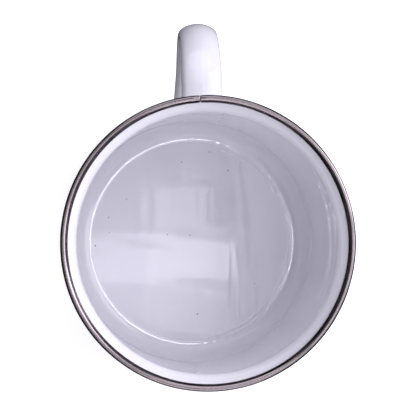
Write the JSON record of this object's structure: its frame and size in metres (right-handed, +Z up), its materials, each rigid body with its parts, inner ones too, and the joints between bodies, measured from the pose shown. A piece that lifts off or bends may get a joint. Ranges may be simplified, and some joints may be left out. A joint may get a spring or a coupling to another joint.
{
  "type": "enamel mug",
  "caption": "Straight-sided enamelled steel mug with a flared lip, a stainless-steel rim band and a rolled strip handle; holds and pours a drink.",
  "frame": {"origin": "centre of the flat underside, on the cup's axis", "axes": "+Z up along the cup's axis, +X towards the handle"},
  "size_m": [0.1146, 0.09, 0.08],
  "materials": {
    "enamel": "glossy white vitreous enamel, very slightly cool",
    "sheet_steel": "bare decarburised sheet, hidden under the enamel",
    "stainless": "rolled stainless strip, bright with fine lengthwise lines",
    "weld": "fused steel"
  },
  "bodies": {
    "root": {"inner_enamel": "enamel", "steel_cup": "sheet_steel", "outer_enamel": "enamel", "rim_band": "stainless", "handle_strip": "sheet_steel", "handle_enamel": "enamel", "spot_weld_upper_left": "weld", "spot_weld_upper_right": "weld", "spot_weld_lower_left": "weld", "spot_weld_lower_right": "weld"}
  },
  "joints": []
}
